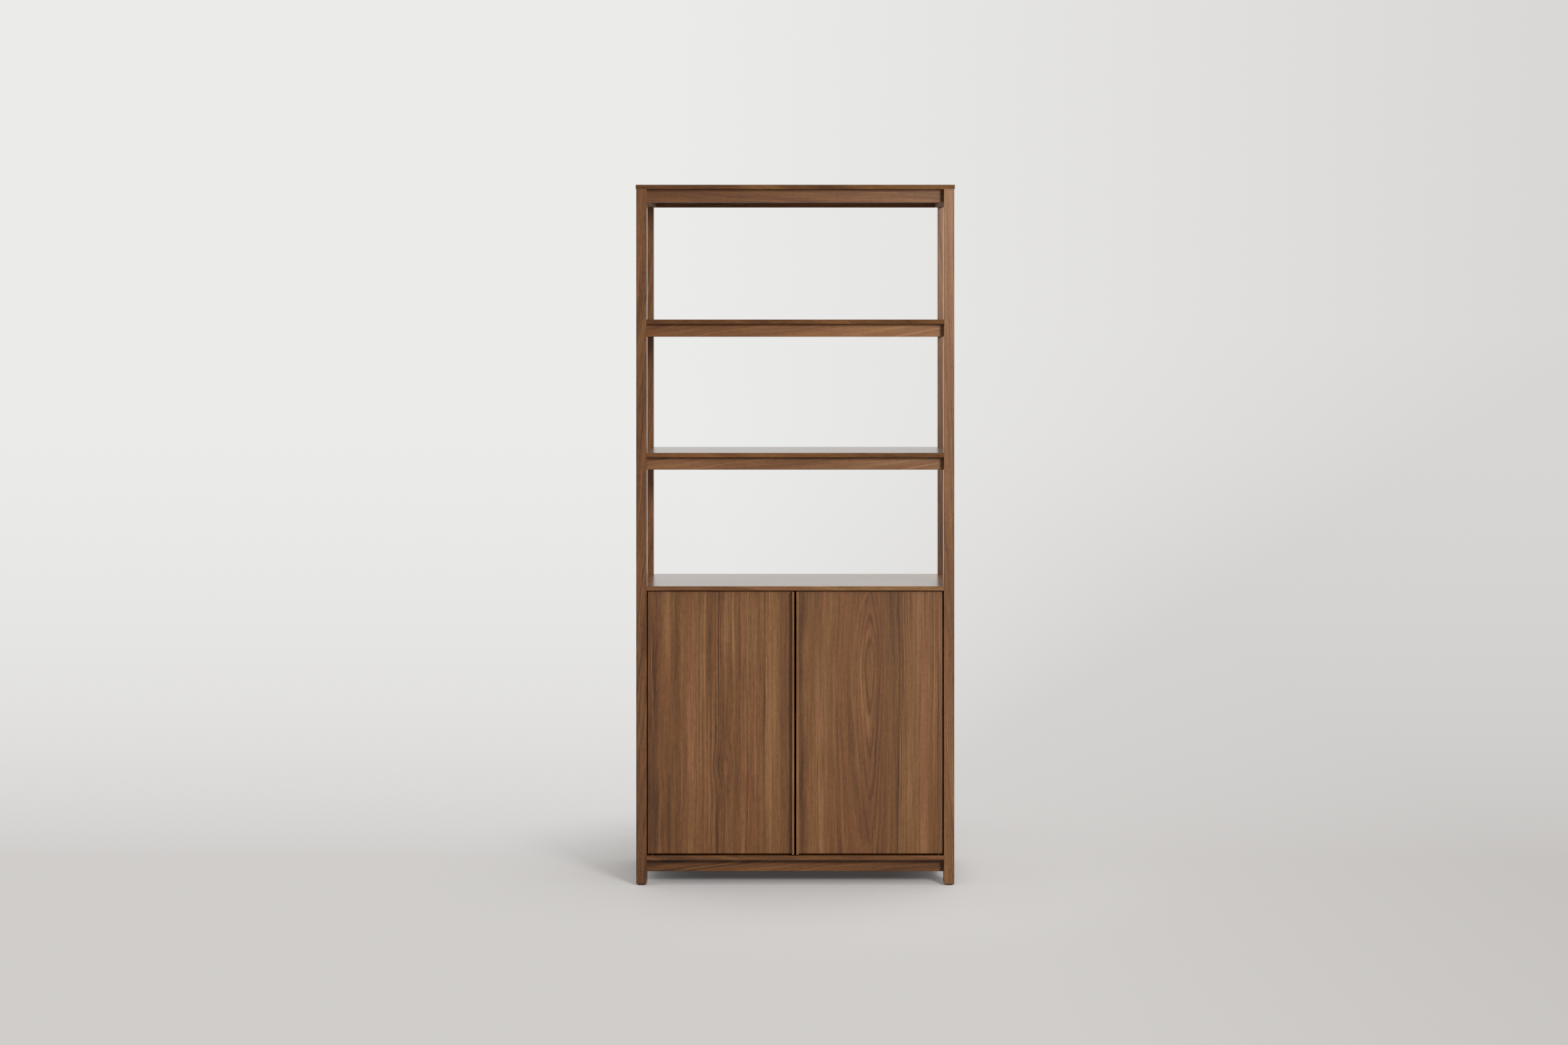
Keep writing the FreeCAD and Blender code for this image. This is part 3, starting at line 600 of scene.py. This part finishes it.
def screws(name, body, seats, tree):
    """One mesh of screws for a body. Each seat is a place in mm, the way its head faces, and its size."""
    mesh = bpy.data.meshes.new(name)
    mesh.from_pydata([tuple(value * MM for value in place) for place, _, _ in seats], [], [])
    facing = mesh.attributes.new("facing", "FLOAT_VECTOR", "POINT")
    facing.data.foreach_set("vector", [value for _, way, _ in seats for value in way])
    size = mesh.attributes.new("size", "FLOAT", "POINT")
    size.data.foreach_set("value", [scale for _, _, scale in seats])
    source = bpy.data.objects.new(name + "_seats", mesh)
    bpy.context.scene.collection.objects.link(source)
    modifier = source.modifiers.new("screws", "NODES")
    modifier.node_group = tree
    sizes = {"Head": HEAD, "Rise": HEAD_RISE, "Sink": HEAD_SINK, "Recess": RECESS, "Seed": TURN_SEED,
             "Material": zinc_plated_steel}
    for item in tree.interface.items_tree:
        if item.in_out == "INPUT" and item.name in sizes:
            modifier[item.identifier] = sizes[item.name]
    solid = bpy.data.meshes.new_from_object(source.evaluated_get(bpy.context.evaluated_depsgraph_get()))
    solid.name = name
    bpy.data.objects.remove(source)
    piece = bpy.data.objects.new(name, solid)
    bpy.context.scene.collection.objects.link(piece)
    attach(piece, body)


def edges(node):
    """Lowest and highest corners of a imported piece, in mm."""
    low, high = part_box(node)
    return low / MM, high / MM


SCREWS = countersunk_screws()
seats = {"case": [], "left_door": [], "right_door": []}
for side, sign in (("left", -1), ("right", 1)):
    door = side + "_door"
    for level, up in (("upper", 1), ("lower", -1)):
        door_low, door_high = edges(f"{side}_{level}_door_leaf")
        panel_low, panel_high = edges("cabinet_top" if up > 0 else "cabinet_floor")
        middle_y = (door_low.y + door_high.y) / 2
        pivot = max(abs(door_low.x), abs(door_high.x)) - PIVOT_INSET
        case_z, door_z = (panel_low.z, door_high.z) if up > 0 else (panel_high.z, door_low.z)
        for along in ALONG_LEAF:
            x = sign * (pivot - along)
            seats["case"].append(((x, middle_y, case_z), (0, 0, -up), 1.0))
            seats[door].append(((x, middle_y, door_z), (0, 0, up), 1.0))
    low, high = edges(side + "_strike_plate")
    strike = ((low.x + high.x) / 2, high.y - STRIKE_DEEP, (low.z + high.z) / 2)
    seats[door].append((strike, (0, 1, 0), STRIKE_SIZE))
    low, high = edges("catch_housing")
    flange = edges(side + "_upper_door_leaf")[1].z
    ear = (sign * (high.x - EAR_INSET), (low.y + high.y) / 2, flange)
    seats["case"].append((ear, (0, 0, -1), 1.0))
for body, places in seats.items():
    screws(body + "_screws", body, places, SCREWS)


# Floor, backdrop, lamps and camera. The floor is lit paint under the case, where it takes the shadow, and
# runs out into plain colours that end in the backdrop's.

BACKDROP = "ebebea"
RIGHT_BACKDROP = "d8d6d4"
NEAR_FLOOR = "d0cdcb"
RIGHT_FLOOR = "c6c3c1"
FLOOR_PAINT = "e2e0de"
FLOOR_BOUNCE = "9d9b99"      # what the floor throws back at the case
HORIZON_LIGHT = "8e8e8e"
OVERHEAD_LIGHT = "f4f4f4"
BACK_LIGHT = "cfcfcf"
UNLIT_STUDIO = "565656"

FLOOR_RADIUS = 400.0         # so far that its edge doesn't show against the backdrop
PAINT_END = (0.25, 1.2)      # from the middle: where the paint begins to fade, and where it is gone
PAINT_FADE = 0.06            # share of plain colour right under the case
LIT_SIDE = (0.4, 0.56)       # X beside the case, on the key light's side, where the shadow fades early
LIT_SIDE_FADE = 0.75         # share of plain colour there
RIGHT_SIDE = (0.6, 2.2)      # X over which the floor darkens to the right
FRONT_REACH = 3.0            # how far round the case the floor keeps its near colour, except behind it
BACK_REACH = 0.2             # how far behind the middle it keeps that colour
HALF_WAY = 2.05              # beyond that, the distance at which half of the colour is the backdrop's
FLOOR_REACH = 40.0           # distance over which the share is worked out
LEAST_SHARE = 0.06           # share of the near colour that counts as none
BACKDROP_TURN = (-0.05, 0.3)   # X of the directions over which the backdrop darkens to the right
OVERHEAD = (0.2, 1.0)        # Z of the directions over which the light grows
BACK = (0.0, 0.8)            # Y of the directions over which the light is the backdrop's
SHOWN_IN_GLOSS = (-0.3, 0.2)   # Y over which gloss begins to show the backdrop


def seen_directly(tree, y):
    """1 for rays from the camera, and for gloss that shows the backdrop behind the case."""
    path = add(tree, "ShaderNodeLightPath").outputs
    behind = add(tree, "ShaderNodeMapRange", {"Value": y, "From Min": SHOWN_IN_GLOSS[0],
                                              "From Max": SHOWN_IN_GLOSS[1]},
                 interpolation_type="SMOOTHSTEP")
    glossy = add(tree, "ShaderNodeMath", {0: path["Is Glossy Ray"], 1: behind}, operation="MULTIPLY")
    seen = add(tree, "ShaderNodeMath", {0: path["Is Camera Ray"], 1: glossy}, operation="MAXIMUM")
    return add(tree, "ShaderNodeMath", {0: seen, 1: path["Is Transmission Ray"]}, operation="MAXIMUM")


def backdrop(tree, toward):
    """Colour of the backdrop in a direction: a little darker to the right."""
    right = add(tree, "ShaderNodeMapRange", {"Value": toward["X"], "From Min": BACKDROP_TURN[0],
                                             "From Max": BACKDROP_TURN[1]})
    colour = add(tree, "ShaderNodeMix", {"Factor": right, "A": linear(BACKDROP),
                                         "B": linear(RIGHT_BACKDROP)}, data_type="RGBA")
    return socket(colour.outputs, 0)


def studio_floor():
    """Pale painted floor that keeps the shadow and runs out into the backdrop colour."""
    bpy.ops.mesh.primitive_circle_add(vertices=96, radius=FLOOR_RADIUS, fill_type="NGON")
    floor = bpy.context.object
    floor.name = "studio_floor"
    material = bpy.data.materials.new("matt_painted_studio_floor")
    material.use_nodes = True
    tree = material.node_tree
    tree.nodes.clear()
    place = add(tree, "ShaderNodeTexCoord").outputs["Object"]
    split = add(tree, "ShaderNodeSeparateXYZ", {0: place}).outputs
    seen = seen_directly(tree, split["Y"])
    away = add(tree, "ShaderNodeVectorMath", {0: place}, operation="LENGTH").outputs["Value"]

    # Share of plain colour over the lit paint
    fade = add(tree, "ShaderNodeMapRange", {"Value": away, "From Min": PAINT_END[0],
                                            "From Max": PAINT_END[1], "To Min": PAINT_FADE},
               interpolation_type="SMOOTHSTEP")
    lit_side = add(tree, "ShaderNodeMapRange", {"Value": split["X"], "From Min": LIT_SIDE[0],
                                                "From Max": LIT_SIDE[1], "To Max": LIT_SIDE_FADE},
                   interpolation_type="SMOOTHSTEP")
    fade = add(tree, "ShaderNodeMath", {0: fade, 1: lit_side}, operation="MAXIMUM")
    fade = add(tree, "ShaderNodeMath", {0: fade, 1: seen}, operation="MULTIPLY")
    coat = add(tree, "ShaderNodeMix", {"Factor": seen, "A": linear(FLOOR_BOUNCE),
                                       "B": linear(FLOOR_PAINT)}, data_type="RGBA")
    paint = add(tree, "ShaderNodeBsdfDiffuse", {"Color": coat})

    # Plain colour: the floor's near the case, the backdrop's far behind it
    beyond = add(tree, "ShaderNodeMath", {0: away, 1: FRONT_REACH}, operation="SUBTRACT")
    beyond = add(tree, "ShaderNodeMath", {0: beyond, 1: split["Y"]}, operation="MAXIMUM")
    far = add(tree, "ShaderNodeMapRange", {"Value": beyond, "From Min": BACK_REACH,
                                           "From Max": BACK_REACH + FLOOR_REACH, "To Min": HALF_WAY,
                                           "To Max": HALF_WAY + FLOOR_REACH})
    near = add(tree, "ShaderNodeMath", {0: HALF_WAY, 1: far}, operation="DIVIDE")
    near = add(tree, "ShaderNodeMapRange", {"Value": near, "From Min": LEAST_SHARE, "From Max": 1.0})
    right = add(tree, "ShaderNodeMapRange", {"Value": split["X"], "From Min": RIGHT_SIDE[0],
                                             "From Max": RIGHT_SIDE[1]})
    floor_colour = add(tree, "ShaderNodeMix", {"Factor": right, "A": linear(NEAR_FLOOR),
                                               "B": linear(RIGHT_FLOOR)}, data_type="RGBA")
    toward = add(tree, "ShaderNodeVectorMath", {0: place}, operation="NORMALIZE")
    toward = add(tree, "ShaderNodeSeparateXYZ", {0: toward}).outputs
    plain = add(tree, "ShaderNodeMix", {"Factor": near, "A": backdrop(tree, toward), "B": floor_colour},
                data_type="RGBA")
    plain = add(tree, "ShaderNodeEmission", {"Color": plain})
    surface = add(tree, "ShaderNodeMixShader", {0: fade, 1: paint, 2: plain})
    add(tree, "ShaderNodeOutputMaterial", {"Surface": surface})
    floor.data.materials.append(material)


def studio_world():
    """Backdrop colour for what is seen of it, and an even light, stronger overhead, for all else.

    Gloss that faces the unlit front half of the studio shows it dark."""
    world = bpy.data.worlds.new("studio")
    bpy.context.scene.world = world
    world.use_nodes = True
    tree = world.node_tree
    tree.nodes.clear()
    toward = add(tree, "ShaderNodeTexCoord").outputs["Generated"]
    toward = add(tree, "ShaderNodeSeparateXYZ", {0: toward}).outputs
    height = add(tree, "ShaderNodeMapRange", {"Value": toward["Z"], "From Min": OVERHEAD[0],
                                              "From Max": OVERHEAD[1]})
    light = add(tree, "ShaderNodeMix", {"Factor": height, "A": linear(HORIZON_LIGHT),
                                        "B": linear(OVERHEAD_LIGHT)}, data_type="RGBA")
    behind = add(tree, "ShaderNodeMapRange", {"Value": toward["Y"], "From Min": BACK[0],
                                              "From Max": BACK[1]})
    light = add(tree, "ShaderNodeMix", {"Factor": behind, "A": light, "B": linear(BACK_LIGHT)},
                data_type="RGBA")
    gloss = add(tree, "ShaderNodeLightPath").outputs["Is Glossy Ray"]
    dim = add(tree, "ShaderNodeMix", {"Factor": gloss, "A": light, "B": linear(UNLIT_STUDIO)},
              data_type="RGBA")
    colour = add(tree, "ShaderNodeMix", {"Factor": seen_directly(tree, toward["Y"]), "A": dim,
                                         "B": backdrop(tree, toward)}, data_type="RGBA")
    background = add(tree, "ShaderNodeBackground", {"Color": colour})
    add(tree, "ShaderNodeOutputWorld", {"Surface": background})


KEY_PLACE = (2.5, -4.9, 2.7)
KEY_TARGET = (0, -0.1, 0.9)
KEY_SIZE = 1.3
KEY_POWER = 190.0


def key_softbox(name):
    """Square lamp in front of the case, up to the right, that faces it."""
    lamp = bpy.data.lights.new(name, "AREA")
    lamp.shape = "RECTANGLE"
    lamp.size = KEY_SIZE
    lamp.size_y = KEY_SIZE
    lamp.energy = KEY_POWER
    item = bpy.data.objects.new(name, lamp)
    item.location = KEY_PLACE
    item.rotation_euler = (Vector(KEY_TARGET) - Vector(KEY_PLACE)).to_track_quat("-Z", "Y").to_euler()
    bpy.context.scene.collection.objects.link(item)
    return item


studio_floor()
studio_world()

# The shelves get the key light's colour without its reflection, which a polished board would throw
# into views from behind. Their gloss shows the backdrop.
key = key_softbox("key_softbox")
shelf_key = key_softbox("shelf_key_softbox")
shelf_key.visible_glossy = False
shelves = bpy.data.collections.new("shelves")
others = bpy.data.collections.new("not_shelves")
for node in PANEL_TONES:
    shelves.objects.link(nodes[node])
    others.objects.link(nodes[node])
for link in others.collection_objects:
    link.light_linking.link_state = "EXCLUDE"
shelf_key.light_linking.receiver_collection = shelves
key.light_linking.receiver_collection = others

# The camera is level, and its vertical shift keeps the posts parallel
PHOTO_WIDTH, PHOTO_HEIGHT = 2352, 1568
FOCAL_PIXELS = 3940.0
VANISHING_X, VANISHING_Y = 1206.0, 492.0   # pixel that lies straight ahead of the camera
CAMERA_DISTANCE = 7.52                     # from the fronts of the posts
CAMERA_X, CAMERA_Z = 0.025, 1.597
CLIP_END = 500.0                           # beyond the floor's edge
camera = bpy.data.cameras.new("camera")
camera.sensor_width = 36.0
camera.sensor_fit = "HORIZONTAL"
camera.lens = FOCAL_PIXELS / PHOTO_WIDTH * camera.sensor_width
camera.shift_x = (PHOTO_WIDTH / 2 - VANISHING_X) / PHOTO_WIDTH
camera.shift_y = (VANISHING_Y - PHOTO_HEIGHT / 2) / PHOTO_WIDTH
camera.clip_end = CLIP_END
viewpoint = bpy.data.objects.new("camera", camera)
viewpoint.location = (CAMERA_X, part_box("post_front_left")[0].y - CAMERA_DISTANCE, CAMERA_Z)
viewpoint.rotation_euler = (math.pi / 2, 0, 0)
bpy.context.scene.collection.objects.link(viewpoint)
bpy.context.scene.camera = viewpoint
bpy.context.scene.view_settings.view_transform = "Standard"
